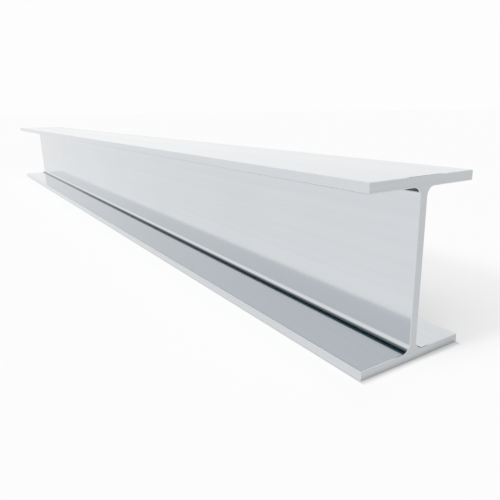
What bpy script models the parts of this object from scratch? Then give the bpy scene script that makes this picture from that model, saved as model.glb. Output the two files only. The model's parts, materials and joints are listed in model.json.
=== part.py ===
"""A rolled steel H-beam, cut to length: a web between two parallel flanges, in one piece.

Metres, +Z up. X runs along the beam and Y across its flanges. The beam stands on its lower flange,
and the origin is on the floor under the middle of the beam.
"""

import math

import bpy

# The section, named as a steel table names it
DEPTH = 0.198
FLANGE_WIDTH = 0.151
WEB_THICKNESS = 0.0105
FLANGE_THICKNESS = 0.011
ROOT_RADIUS = 0.010
TOE_RADIUS = 0.0012

# The cut piece
LENGTH = 2.0
END_DEBURR = 0.0007

# How finely the round stretches are faceted
ROOT_STEPS = 14
TOE_STEPS = 4
DEBURR_STEPS = 2

WELD_DISTANCE = 0.00001

STEEL_COLOUR = (0.62, 0.64, 0.67, 1.0)
STEEL_ROUGHNESS = 0.24


def clear_scene():
    for obj in list(bpy.data.objects):
        bpy.data.objects.remove(obj, do_unlink=True)


def arc(centre, radius, start_degrees, end_degrees, steps):
    """Points along a circular arc, both ends included, as (across, up) pairs."""
    points = []
    for step in range(steps + 1):
        angle = math.radians(start_degrees + (end_degrees - start_degrees) * step / steps)
        points.append((centre[0] + radius * math.cos(angle), centre[1] + radius * math.sin(angle)))
    return points


def quarter_outline():
    """From the web up round the root fillet, out under the flange and round its toe, in the first quadrant."""
    underside = DEPTH / 2 - FLANGE_THICKNESS
    root_centre = (WEB_THICKNESS / 2 + ROOT_RADIUS, underside - ROOT_RADIUS)
    toe_across = FLANGE_WIDTH / 2 - TOE_RADIUS
    return [
        *arc(root_centre, ROOT_RADIUS, 180, 90, ROOT_STEPS),
        *arc((toe_across, underside + TOE_RADIUS), TOE_RADIUS, -90, 0, TOE_STEPS),
        *arc((toe_across, DEPTH / 2 - TOE_RADIUS), TOE_RADIUS, 0, 90, TOE_STEPS),
    ]


def section_outline():
    """The whole H, counterclockwise, centred on the middle of the web."""
    right = quarter_outline()
    upper = right + [(-across, up) for across, up in reversed(right)]
    return upper + [(-across, -up) for across, up in upper]


def section_curve(name):
    """The H as a filled flat curve, extruded to the length. Its bevel rounds the edges of both sawn ends."""
    curve = bpy.data.curves.new(name, "CURVE")
    curve.dimensions = "2D"
    curve.fill_mode = "BOTH"
    curve.extrude = LENGTH / 2 - END_DEBURR
    curve.bevel_depth = END_DEBURR
    curve.bevel_resolution = DEBURR_STEPS - 1
    curve.offset = -END_DEBURR
    outline = section_outline()
    spline = curve.splines.new("POLY")
    spline.points.add(len(outline) - 1)
    for point, (across, up) in zip(spline.points, outline):
        point.co = (across, up, 0.0, 1.0)
    spline.use_cyclic_u = True
    return curve


def steel():
    material = bpy.data.materials.new("satin_steel")
    material.use_nodes = True
    shader = material.node_tree.nodes["Principled BSDF"]
    shader.inputs["Base Color"].default_value = STEEL_COLOUR
    shader.inputs["Metallic"].default_value = 1.0
    shader.inputs["Roughness"].default_value = STEEL_ROUGHNESS
    material.diffuse_color = STEEL_COLOUR
    return material


def add_h_beam(collection):
    """Stands the section up and lays its length along X, with the lower flange on the floor."""
    beam = bpy.data.objects.new("h_beam", section_curve("h_beam"))
    beam.rotation_euler = (math.radians(90), 0.0, math.radians(90))
    beam.location.z = DEPTH / 2
    beam.data.materials.append(steel())

    weld = beam.modifiers.new("join_caps", "WELD")
    weld.merge_threshold = WELD_DISTANCE

    collection.objects.link(beam)
    return beam


def main():
    clear_scene()
    collection = bpy.data.collections.new("steel_h_beam")
    bpy.context.scene.collection.children.link(collection)
    add_h_beam(collection)


main()
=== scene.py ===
"""A rolled steel H-beam in bare satin steel, dressed for show and set on a white studio floor.

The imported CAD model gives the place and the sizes, in metres. The beam lies along X on its lower flange.
"""

import json
import math

import bmesh
import bpy
from bpy.props import FloatProperty, FloatVectorProperty, IntProperty, PointerProperty
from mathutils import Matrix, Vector

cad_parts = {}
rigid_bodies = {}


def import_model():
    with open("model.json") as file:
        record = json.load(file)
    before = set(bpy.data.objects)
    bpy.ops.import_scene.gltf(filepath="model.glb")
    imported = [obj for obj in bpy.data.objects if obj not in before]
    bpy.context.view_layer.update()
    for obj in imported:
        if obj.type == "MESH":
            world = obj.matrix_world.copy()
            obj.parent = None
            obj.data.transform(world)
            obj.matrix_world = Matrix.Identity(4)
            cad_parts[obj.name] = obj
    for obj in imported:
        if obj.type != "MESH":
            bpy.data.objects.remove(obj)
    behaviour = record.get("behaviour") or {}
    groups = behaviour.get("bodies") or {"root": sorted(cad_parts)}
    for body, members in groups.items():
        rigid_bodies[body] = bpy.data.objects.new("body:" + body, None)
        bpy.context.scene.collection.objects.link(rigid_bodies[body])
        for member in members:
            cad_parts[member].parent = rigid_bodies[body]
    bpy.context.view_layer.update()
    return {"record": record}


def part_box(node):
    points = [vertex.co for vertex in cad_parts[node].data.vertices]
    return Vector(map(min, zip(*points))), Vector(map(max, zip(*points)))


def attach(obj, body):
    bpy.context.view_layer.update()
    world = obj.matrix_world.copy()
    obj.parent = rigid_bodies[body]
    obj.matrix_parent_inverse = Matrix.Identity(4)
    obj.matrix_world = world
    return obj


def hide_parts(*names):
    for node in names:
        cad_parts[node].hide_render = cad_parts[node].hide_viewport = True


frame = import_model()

bl_info = {
    "name": "Rolled H-beam",
    "version": (1, 0, 0),
    "blender": (4, 5, 0),
    "location": "3D View > Sidebar > H-beam",
    "description": "Models a rolled steel H-beam with a satin finish, and a white studio around it",
    "category": "Add Mesh",
}

CAD_NODE = "h_beam"
CAD_BODY = "root"


LOW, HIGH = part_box(CAD_NODE)
MOUNTS = {mount["name"]: mount["pos_m"] for mount in frame["record"]["mounts"]}

# How near two coordinates must be to count as the same place
SAME_PLACE = 0.00001

# Share of its length that an edge must run along X to count as lengthwise
LENGTHWISE_SHARE = 0.9

# Faces that meet at less than the first angle count as one flat face, at less than the second as a curve
FLAT_ANGLE = math.radians(1)
CURVE_ANGLE = math.radians(30)

# The camera's sensor in millimetres, and how far it sees, which takes in the whole floor
SENSOR_WIDTH = 36.0
VIEW_DISTANCE = 200.0


class BeamSizes(bpy.types.PropertyGroup):
    """The sizes of the beam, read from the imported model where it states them."""

    length: FloatProperty(
        name="Length", description="Cut length of the beam", default=HIGH.x - LOW.x, unit="LENGTH")
    depth: FloatProperty(
        name="Depth", description="Height over both flanges", default=HIGH.z - LOW.z, unit="LENGTH")
    flange_width: FloatProperty(
        name="Flange width", description="Width across a flange", default=HIGH.y - LOW.y, unit="LENGTH")
    web_thickness: FloatProperty(
        name="Web thickness", description="Thickness of the web",
        default=2 * MOUNTS["web_face_plus_y"][1], unit="LENGTH", precision=4)
    flange_thickness: FloatProperty(
        name="Flange thickness", description="Thickness of each flange",
        default=MOUNTS["lower_flange_inner_plus_y"][2], unit="LENGTH", precision=4)
    root_radius: FloatProperty(
        name="Root radius", description="Radius of the fillets between web and flanges",
        default=0.010, unit="LENGTH", precision=4)
    toe_radius: FloatProperty(
        name="Toe radius", description="Radius on the long edges of the flanges",
        default=0.0012, unit="LENGTH", precision=4)
    end_deburr: FloatProperty(
        name="End deburr", description="Radius that deburring leaves on the edges of the sawn ends",
        default=0.0007, unit="LENGTH", precision=4)
    root_segments: IntProperty(
        name="Root segments", description="Facets of each root fillet", default=24)
    toe_segments: IntProperty(
        name="Toe segments", description="Facets of each rounded toe edge", default=6)
    deburr_segments: IntProperty(
        name="Deburr segments", description="Facets of each deburred edge", default=4)


class SteelFinish(bpy.types.PropertyGroup):
    """How the bare steel looks."""

    colour: FloatVectorProperty(
        name="Steel", description="Colour of the clean rolled surface",
        default=(0.672, 0.697, 0.722), subtype="COLOR", size=3, min=0, max=1)
    dull_colour: FloatVectorProperty(
        name="Dull steel", description="Colour of the duller streaks and clouds in it",
        default=(0.648, 0.673, 0.698), subtype="COLOR", size=3, min=0, max=1)
    sawn_colour: FloatVectorProperty(
        name="Sawn steel", description="Colour of the freshly sawn ends",
        default=(0.545, 0.565, 0.585), subtype="COLOR", size=3, min=0, max=1)
    sawn_dull_colour: FloatVectorProperty(
        name="Dull sawn steel", description="Colour of the duller saw lines in it",
        default=(0.515, 0.535, 0.555), subtype="COLOR", size=3, min=0, max=1)
    # Painted shade: a dark colour put into the root fillets in place of the dark reflection in the corners
    # between web and flanges
    root_shade_colour: FloatVectorProperty(
        name="Root", description="Colour of the dark skin that stays in the root fillets",
        default=(0.004, 0.032, 0.045), subtype="COLOR", size=3, min=0, max=1)
    roughness: FloatProperty(
        name="Roughness", description="Roughness of the rolled surface", default=0.11, min=0, max=1)
    sawn_roughness: FloatProperty(
        name="Sawn roughness", description="Roughness of the sawn ends", default=0.24, min=0, max=1)


class StudioLook(bpy.types.PropertyGroup):
    """The background, the floor, both lamps and the camera."""

    white: FloatProperty(
        name="White", description="How bright the background shows, where 1 is white",
        default=0.983, min=0, max=1)
    floor_size: FloatProperty(
        name="Floor size", description="Side of the square floor", default=80.0, unit="LENGTH")
    floor_colour: FloatVectorProperty(
        name="Floor shade", description="Share of the lamps' light that the floor gives back",
        default=(0.32, 0.32, 0.32), subtype="COLOR", size=3, min=0, max=1)
    sky_light: FloatProperty(
        name="Sky light", description="Strength of the even light from all around", default=0.225)
    key_light: FloatProperty(
        name="Key light", description="Strength of the key lamp", default=1.55)
    key_elevation: FloatProperty(
        name="Key elevation", description="Height of the key lamp over the floor",
        default=math.radians(35), subtype="ANGLE")
    key_azimuth: FloatProperty(
        name="Key azimuth",
        description="Direction from which the key lamp shines, turned from +X towards +Y",
        default=math.radians(-97), subtype="ANGLE")
    key_softness: FloatProperty(
        name="Key softness", description="Angle that the key lamp fills",
        default=math.radians(12), subtype="ANGLE")
    fill_light: FloatProperty(
        name="Fill light", description="Strength of the broad fill lamp", default=2.0)
    fill_elevation: FloatProperty(
        name="Fill elevation", description="Height of the fill lamp over the floor",
        default=math.radians(60), subtype="ANGLE")
    fill_azimuth: FloatProperty(
        name="Fill azimuth",
        description="Direction from which the fill lamp shines, turned from +X towards +Y",
        default=math.radians(-80), subtype="ANGLE")
    fill_softness: FloatProperty(
        name="Fill softness", description="Angle that the fill lamp fills",
        default=math.radians(45), subtype="ANGLE")
    camera_place: FloatVectorProperty(
        name="Camera place", description="Where the camera stands",
        default=(1.3102, -0.3892, 0.2612), subtype="TRANSLATION", size=3)
    camera_turn: FloatVectorProperty(
        name="Camera turn", description="How the camera is turned",
        default=(math.radians(74.001), math.radians(0.667), math.radians(55.996)),
        subtype="EULER", size=3)
    camera_lens: FloatProperty(
        name="Lens", description="Focal length in millimetres, on a 36 mm wide sensor", default=35.4)
    camera_shift: FloatProperty(
        name="Shift", description="Sideways shift of the lens, as a share of the picture's width",
        default=-0.04)


def settings():
    scene = bpy.context.scene
    return scene.beam_sizes, scene.steel_finish, scene.studio_look


# Modelling


def deselect_all():
    for obj in bpy.data.objects:
        obj.select_set(False)


def pick(kind, wanted):
    """In edit mode, selects the faces or edges for which wanted(element) is true, and nothing else."""
    mesh = bpy.context.object.data
    shape = bmesh.from_edit_mesh(mesh)
    bpy.ops.mesh.select_mode(type=kind)
    for elements in (shape.verts, shape.edges, shape.faces):
        for element in elements:
            element.select = False
    candidates = shape.edges if kind == "EDGE" else shape.faces
    chosen = [element for element in candidates if wanted(element)]
    if not chosen:
        raise RuntimeError(f"no {kind.lower()} was found to select")
    for element in chosen:
        element.select = True
    shape.select_flush_mode()
    bmesh.update_edit_mesh(mesh)


def runs_along_x(edge):
    span = edge.verts[1].co - edge.verts[0].co
    return abs(span.x) > LENGTHWISE_SHARE * span.length


def lies_at(value, place):
    return abs(abs(value) - place) < SAME_PLACE


def cut_level(height):
    bpy.ops.mesh.select_all(action="SELECT")
    bpy.ops.mesh.bisect(plane_co=(0, 0, height), plane_no=(0, 0, 1))


def roll_section(sizes):
    """Pulls the flanges out of a plate as thick as the web, then rounds roots, toes and sawn edges."""
    half_depth = sizes.depth / 2
    inner = half_depth - sizes.flange_thickness
    reach = (sizes.flange_width - sizes.web_thickness) / 2

    for level in (sizes.flange_thickness, sizes.depth - sizes.flange_thickness):
        cut_level(level)
    for side in (1, -1):
        pick("FACE", lambda face: face.normal.y * side > 0.5 and abs(face.calc_center_median().z) > inner)
        bpy.ops.mesh.extrude_region_move(TRANSFORM_OT_translate={"value": (0, side * reach, 0)})
    bpy.ops.mesh.select_all(action="SELECT")
    bpy.ops.mesh.dissolve_limited(angle_limit=FLAT_ANGLE)

    pick("EDGE", lambda edge: runs_along_x(edge) and lies_at(edge.verts[0].co.y, sizes.web_thickness / 2))
    bpy.ops.mesh.bevel(offset=sizes.root_radius, segments=sizes.root_segments, affect="EDGES")
    pick("EDGE", lambda edge: runs_along_x(edge) and lies_at(edge.verts[0].co.y, sizes.flange_width / 2))
    bpy.ops.mesh.bevel(offset=sizes.toe_radius, segments=sizes.toe_segments, affect="EDGES")
    pick("EDGE", lambda edge: not runs_along_x(edge))
    bpy.ops.mesh.bevel(offset=sizes.end_deburr, segments=sizes.deburr_segments, affect="EDGES")


def even_out_shading(beam):
    """Smooth curves beside flat faces that stay flat in their reflections."""
    bpy.ops.object.shade_smooth_by_angle(angle=CURVE_ANGLE)
    weighted = beam.modifiers.new("flat_faces", "WEIGHTED_NORMAL")
    weighted.mode = "FACE_AREA"
    weighted.keep_sharp = True
    bpy.ops.object.modifier_apply(modifier=weighted.name)


# Shading


class Value:
    """A number that varies in a shader. Sums and products of such values add their Math nodes."""

    def __init__(self, shading, socket):
        self.shading = shading
        self.socket = socket

    def math(self, operation, *terms):
        node = self.shading.node("ShaderNodeMath", {"operation": operation}, dict(enumerate(terms)))
        return node[0]

    def __add__(self, other):
        return self.math("ADD", self, other)

    def __radd__(self, other):
        return self.math("ADD", other, self)

    def __sub__(self, other):
        return self.math("SUBTRACT", self, other)

    def __rsub__(self, other):
        return self.math("SUBTRACT", other, self)

    def __mul__(self, other):
        return self.math("MULTIPLY", self, other)

    def __rmul__(self, other):
        return self.math("MULTIPLY", other, self)

    def __abs__(self):
        return self.math("ABSOLUTE", self)

    def most(self, other):
        return self.math("MAXIMUM", self, other)

    def square_root(self):
        return self.math("SQRT", self)


class Shading:
    """The node tree of a material or world, emptied and built up again."""

    def __init__(self, owner):
        owner.use_nodes = True
        self.tree = owner.node_tree
        self.tree.nodes.clear()

    def node(self, kind, options=None, inputs=None):
        """Adds a node, sets its options and gives its sockets values or links. Returns its outputs."""
        node = self.tree.nodes.new(kind)
        for name, option in (options or {}).items():
            setattr(node, name, option)
        for key, value in (inputs or {}).items():
            if isinstance(value, Value):
                self.tree.links.new(value.socket, node.inputs[key])
            else:
                node.inputs[key].default_value = value
        return [Value(self, socket) for socket in node.outputs]

    def rise(self, value, start, end, low=0.0, high=1.0):
        """A smooth step of the value, from low at the start to high at the end."""
        return self.node(
            "ShaderNodeMapRange",
            {"interpolation_type": "SMOOTHSTEP"},
            {"Value": value, "From Min": start, "From Max": end, "To Min": low, "To Max": high})[0]

    def blend(self, factor, first, second):
        """A colour between two colours."""
        mixed = self.node("ShaderNodeMix", {"data_type": "RGBA"}, {0: factor, 6: first, 7: second})
        return mixed[2]

    def parts(self, vector):
        """The x, y and z of a vector."""
        return self.node("ShaderNodeSeparateXYZ", None, {0: vector})

    def noise(self, vector, scale, detail, roughness=0.5):
        noise = self.node(
            "ShaderNodeTexNoise", {"noise_dimensions": "3D"},
            {"Vector": vector, "Scale": scale, "Detail": detail, "Roughness": roughness})
        return noise[0]

    def multiplied(self, vector, other):
        """A vector or colour, each part of it multiplied by that part of the other."""
        return self.node("ShaderNodeVectorMath", {"operation": "MULTIPLY"}, {0: vector, 1: other})[0]


def opaque(colour):
    return (*colour, 1.0)


WHITE = opaque((1.0, 1.0, 1.0))

# How much rougher and less metallic the rounded outer edges are than the faces beside them
EDGE_ROUGHNESS = 0.30
EDGE_METAL_LOSS = 0.12

# How far the roughness wanders over a surface, and how much rougher the web and the toes are
ROLLED_SPREAD = 0.03
SAWN_SPREAD = 0.10
WEB_ROUGHNESS = 0.02

# Distances from the middle of the web. The painted shade in the roots fades out between the first two, and
# the rougher outer edges fade in between the last two
ROOTS_FULL = 0.02
FLANGE_MIDDLE = 0.03
EDGES_FULL = 0.04


def steel_material(name, shade):
    """A metal whose colour, roughness and relief come from shade(shading, place, facing).

    facing is how squarely the surface faces along the beam, across it and up or down, each from 0 to 1.
    """
    material = bpy.data.materials.new(name)
    shading = Shading(material)
    coordinates = shading.node("ShaderNodeTexCoord")
    place, normal = coordinates[3], shading.parts(coordinates[1])
    facing = [abs(part) for part in normal]
    colour, roughness, relief = shade(shading, place, facing)

    along, across, up = facing
    turned = 1.0 - along.most(across).most(up)
    from_web = abs(shading.parts(place)[1])
    outer = shading.rise(from_web, FLANGE_MIDDLE, EDGES_FULL).most(shading.rise(along, 0.02, 0.10))
    edge = shading.rise(turned, 0.01, 0.12) * outer
    roughness = roughness + EDGE_ROUGHNESS * edge

    # Edges that face down stay all metal
    metallic = 1.0 - EDGE_METAL_LOSS * edge * shading.rise(normal[2], -0.35, -0.05)

    bumped = shading.node("ShaderNodeBump", None, {"Strength": 1.0, "Distance": 1.0, "Height": relief})[0]
    metal = shading.node(
        "ShaderNodeBsdfPrincipled", None,
        {"Base Color": colour, "Roughness": roughness, "Metallic": metallic, "Normal": bumped})[0]
    shading.node("ShaderNodeOutputMaterial", {"target": "ALL"}, {"Surface": metal})
    return material


def rolled_steel(finish):
    """Rolled faces: faint streaks along the beam, slow clouds, a fine grain, and a painted dark shade in
    the roots.
    """

    # The triples are noise features per metre, along the beam, across it and up
    def shade(shading, place, facing):
        streaks = shading.noise(shading.multiplied(place, (0.7, 160.0, 160.0)), 1.0, 4.0, 0.6)
        bands = shading.noise(shading.multiplied(place, (0.25, 26.0, 26.0)), 1.0, 2.0)
        clouds = shading.noise(place, 5.0, 3.0)
        grain = shading.noise(shading.multiplied(place, (350.0, 1400.0, 1400.0)), 1.0, 2.0)

        dullness = 0.40 * streaks + 0.35 * bands + 0.25 * clouds
        wear = shading.rise(dullness, 0.38, 0.62)
        colour = shading.blend(wear, opaque(finish.colour), opaque(finish.dull_colour))
        roughness = finish.roughness + ROLLED_SPREAD * (wear - 0.5) + ROLLED_SPREAD * (grain - 0.5)
        roughness = roughness + WEB_ROUGHNESS * shading.rise(facing[1], 0.985, 0.999)
        relief = 0.000002 * streaks + 0.0000015 * grain + 0.000006 * bands

        # The painted shade thickens round the fillet from web to flange, and ends where the flange becomes
        # flat
        near_web = shading.rise(abs(shading.parts(place)[1]), FLANGE_MIDDLE, ROOTS_FULL)
        depth = 0.84 * shading.rise(facing[2], 0.50, 0.72) + 0.13 * shading.rise(facing[2], 0.72, 0.88)
        root_shade = depth * shading.rise(facing[2], 0.9995, 0.996) * near_web
        colour = shading.blend(root_shade, colour, opaque(finish.root_shade_colour))
        return colour, roughness, relief

    return steel_material("rolled_steel", shade)


def sawn_steel(finish):
    """Sawn ends: fine straight lines down the cut, some deeper than the rest."""

    # The triples are noise features per metre, along the beam, across it and up
    def shade(shading, place, facing):
        lines = shading.noise(shading.multiplied(place, (1.0, 8.0, 1500.0)), 1.0, 3.0, 0.7)
        strokes = shading.noise(shading.multiplied(place, (1.0, 3.0, 240.0)), 1.0, 2.0)
        clouds = shading.noise(place, 30.0, 2.0)

        tone = 0.45 * lines + 0.35 * strokes + 0.20 * clouds
        wear = shading.rise(tone, 0.35, 0.65)
        colour = shading.blend(wear, opaque(finish.sawn_colour), opaque(finish.sawn_dull_colour))
        roughness = finish.sawn_roughness + SAWN_SPREAD * (wear - 0.5)
        relief = 0.00001 * lines + 0.00002 * strokes
        return colour, roughness, relief

    return steel_material("sawn_steel", shade)


# The studio

# Where the lamps stand over the beam, which changes nothing, because they are distant
LAMP_HEIGHT = 3

# How much darker than the background the open floor is
FLOOR_MARGIN = 0.012

# The painted dark line where the beam meets the floor, narrower beside the toes, and the painted faint
# shade around it
CONTACT_WIDTH = 0.009
CONTACT_LIGHT = 0.5
NEARBY_WIDTH = 0.05
NEARBY_LIGHT = 0.965
TOE_NARROWING = 4.0


def floor_material(studio, sizes):
    """White, with the shadows that the lamps cast on it and a painted shade where the beam meets it."""
    material = bpy.data.materials.new("studio_floor")
    shading = Shading(material)
    x, y = shading.parts(shading.node("ShaderNodeTexCoord")[3])[:2]
    before_end = abs(x) - sizes.length / 2
    beside_toe = abs(y) - sizes.flange_width / 2

    past_end = before_end.most(0.0)
    past_toe = TOE_NARROWING * beside_toe.most(0.0)
    reach = (past_end * past_end + past_toe * past_toe).square_root()
    painted_contact_shade = shading.rise(reach, 0.0, CONTACT_WIDTH, CONTACT_LIGHT, 1.0)
    painted_contact_shade = painted_contact_shade * shading.rise(before_end.most(beside_toe), 0.0, NEARBY_WIDTH, NEARBY_LIGHT, 1.0)

    lamps = ((studio.key_light, studio.key_elevation), (studio.fill_light, studio.fill_elevation))
    lamp_light = sum(light * math.sin(elevation) / math.pi for light, elevation in lamps)
    lit = studio.floor_colour[0] * (studio.sky_light + lamp_light)
    own_light = (studio.white - FLOOR_MARGIN - lit) * painted_contact_shade

    glow = shading.node("ShaderNodeEmission", None, {"Strength": own_light})[0]
    paint = shading.node("ShaderNodeBsdfDiffuse", None, {"Color": opaque(studio.floor_colour)})[0]
    both = shading.node("ShaderNodeAddShader", None, {0: paint, 1: glow})[0]
    shading.node("ShaderNodeOutputMaterial", None, {"Surface": both})
    return material


def light_world(world, studio):
    """White behind the beam and in its reflections, and an even light on it."""
    shading = Shading(world)
    rays = shading.node("ShaderNodeLightPath")
    camera, glossy, transmission = rays[0], rays[3], rays[6]

    seen = camera.most(glossy).most(transmission)
    backdrop = shading.node("ShaderNodeBackground", None, {"Color": WHITE, "Strength": studio.white})[0]
    even = shading.node("ShaderNodeBackground", None, {"Color": WHITE, "Strength": studio.sky_light})[0]
    mixed = shading.node("ShaderNodeMixShader", None, {0: seen, 1: even, 2: backdrop})[0]
    shading.node("ShaderNodeOutputWorld", None, {"Surface": mixed})


def add_lamp(name, strength, elevation, azimuth, softness):
    """A distant lamp that lights surfaces evenly and that reflections don't show."""
    bpy.ops.object.light_add(type="SUN", location=(0, 0, LAMP_HEIGHT))
    lamp = bpy.context.object
    lamp.name = name
    lamp.data.energy = strength
    lamp.data.angle = softness
    level = math.cos(elevation)
    towards = Vector((math.cos(azimuth) * level, math.sin(azimuth) * level, math.sin(elevation)))
    lamp.rotation_euler = towards.to_track_quat("Z", "Y").to_euler()
    lamp.visible_glossy = False


# Operators


class HBEAM_OT_add_beam(bpy.types.Operator):
    """Model the rolled beam and give it its steel"""

    bl_idname = "hbeam.add_beam"
    bl_label = "Add H-beam"

    def execute(self, context):
        sizes, finish, _ = settings()
        deselect_all()
        bpy.ops.mesh.primitive_cube_add(
            size=1, location=(0, 0, sizes.depth / 2),
            scale=(sizes.length, sizes.web_thickness, sizes.depth))
        beam = context.object
        beam.name = "rolled_h_beam"
        bpy.ops.object.mode_set(mode="EDIT")
        roll_section(sizes)
        bpy.ops.object.mode_set(mode="OBJECT")
        bpy.ops.object.transform_apply(location=True, rotation=True, scale=True)
        even_out_shading(beam)

        beam.data.materials.append(rolled_steel(finish))
        beam.data.materials.append(sawn_steel(finish))
        for face in beam.data.polygons:
            face.material_index = 1 if lies_at(face.center.x, sizes.length / 2) else 0

        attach(beam, CAD_BODY)
        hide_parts(CAD_NODE)
        return {"FINISHED"}


class HBEAM_OT_add_stage(bpy.types.Operator):
    """Lay the white floor, light the studio and aim the camera"""

    bl_idname = "hbeam.add_stage"
    bl_label = "Add studio"

    def execute(self, context):
        sizes, _, studio = settings()
        scene = context.scene
        deselect_all()
        bpy.ops.mesh.primitive_plane_add(size=studio.floor_size, location=(0, 0, 0))
        floor = context.object
        floor.name = "studio_floor"
        floor.data.materials.append(floor_material(studio, sizes))

        world = bpy.data.worlds.new("studio")
        scene.world = world
        light_world(world, studio)

        add_lamp(
            "key_light", studio.key_light,
            studio.key_elevation, studio.key_azimuth, studio.key_softness)
        add_lamp(
            "fill_light", studio.fill_light,
            studio.fill_elevation, studio.fill_azimuth, studio.fill_softness)

        bpy.ops.object.camera_add(location=studio.camera_place, rotation=studio.camera_turn)
        camera = context.object
        camera.name = "studio_camera"
        camera.data.lens = studio.camera_lens
        camera.data.sensor_width = SENSOR_WIDTH
        camera.data.shift_x = studio.camera_shift
        camera.data.clip_end = VIEW_DISTANCE
        scene.camera = camera
        scene.view_settings.view_transform = "Standard"
        return {"FINISHED"}


class HBEAM_PT_panel(bpy.types.Panel):
    """The beam's sizes and finish, and the buttons that build it"""

    bl_label = "Rolled H-beam"
    bl_idname = "HBEAM_PT_panel"
    bl_space_type = "VIEW_3D"
    bl_region_type = "UI"
    bl_category = "H-beam"

    def draw(self, context):
        for group in settings():
            column = self.layout.column()
            for name in group.__annotations__:
                column.prop(group, name)
        self.layout.operator(HBEAM_OT_add_beam.bl_idname)
        self.layout.operator(HBEAM_OT_add_stage.bl_idname)


GROUPS = {"beam_sizes": BeamSizes, "steel_finish": SteelFinish, "studio_look": StudioLook}
CLASSES = (*GROUPS.values(), HBEAM_OT_add_beam, HBEAM_OT_add_stage, HBEAM_PT_panel)


def register():
    for cls in CLASSES:
        bpy.utils.register_class(cls)
    for name, group in GROUPS.items():
        setattr(bpy.types.Scene, name, PointerProperty(type=group))


def unregister():
    for name in GROUPS:
        delattr(bpy.types.Scene, name)
    for cls in reversed(CLASSES):
        bpy.utils.unregister_class(cls)


def main():
    register()
    bpy.ops.hbeam.add_beam()
    bpy.ops.hbeam.add_stage()


if __name__ == "__main__":
    main()
